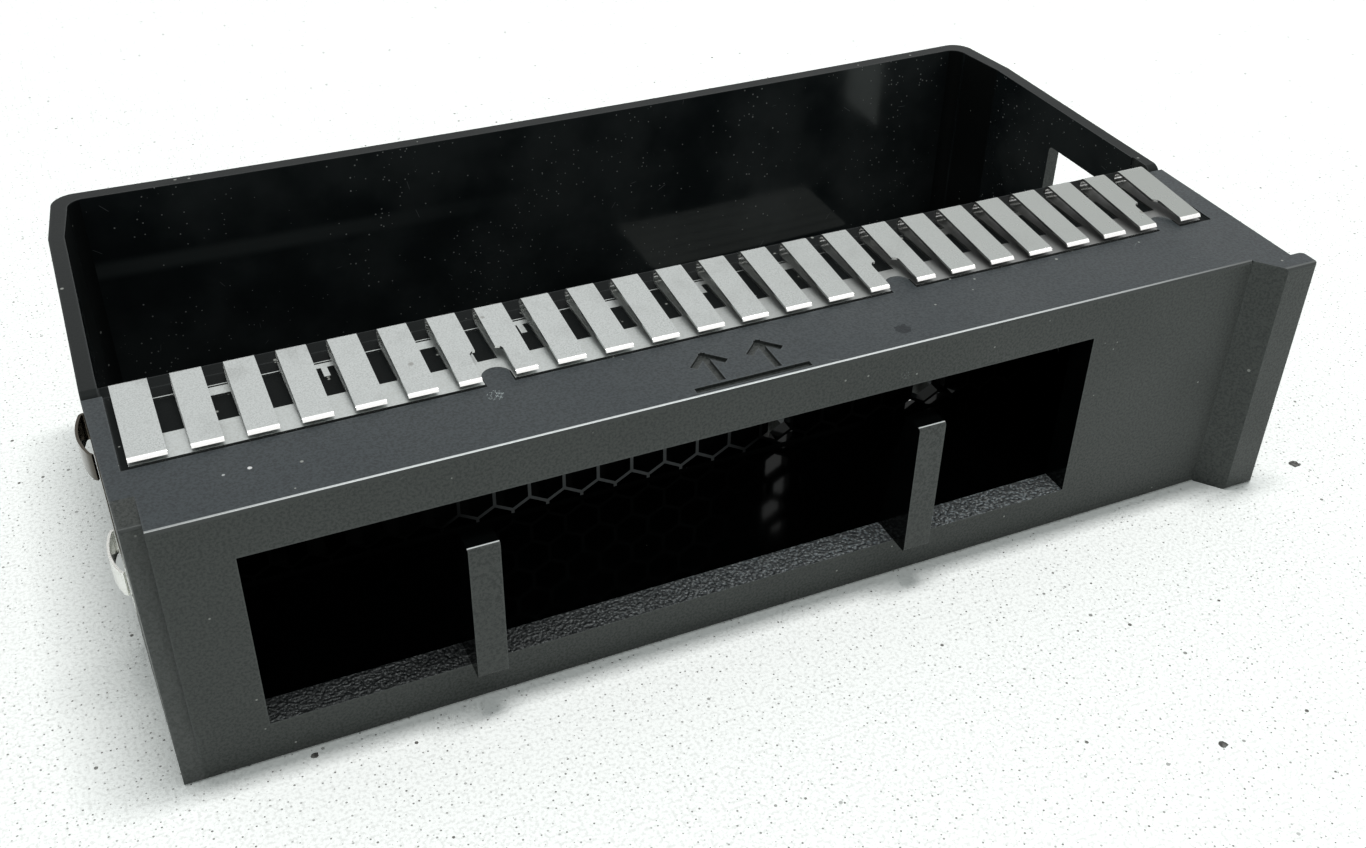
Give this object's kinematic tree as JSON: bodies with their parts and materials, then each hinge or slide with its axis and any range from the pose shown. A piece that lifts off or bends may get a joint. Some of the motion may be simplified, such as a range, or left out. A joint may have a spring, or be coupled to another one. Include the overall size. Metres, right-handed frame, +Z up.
{
  "type": "drive bay blank filler",
  "caption": "Open-topped tray with a windowed honeycomb front that fills an empty drive bay, with contact springs on its top and left side.",
  "frame": {"origin": "centre of the bottom face", "axes": "+X to the right seen from the front, along the length; +Y from the front face to the rear wall; +Z up, the height"},
  "size_m": [0.1053, 0.0548, 0.0266],
  "materials": {
    "black_plastic": "fine moulded grain outside, polished inside",
    "spring_steel": "satin stainless sheet",
    "paper_label": "smooth paper"
  },
  "bodies": {
    "root": {"housing": "black_plastic", "top_spring_strip": "spring_steel", "side_spring_strip": "spring_steel", "label": "paper_label"}
  },
  "joints": []
}
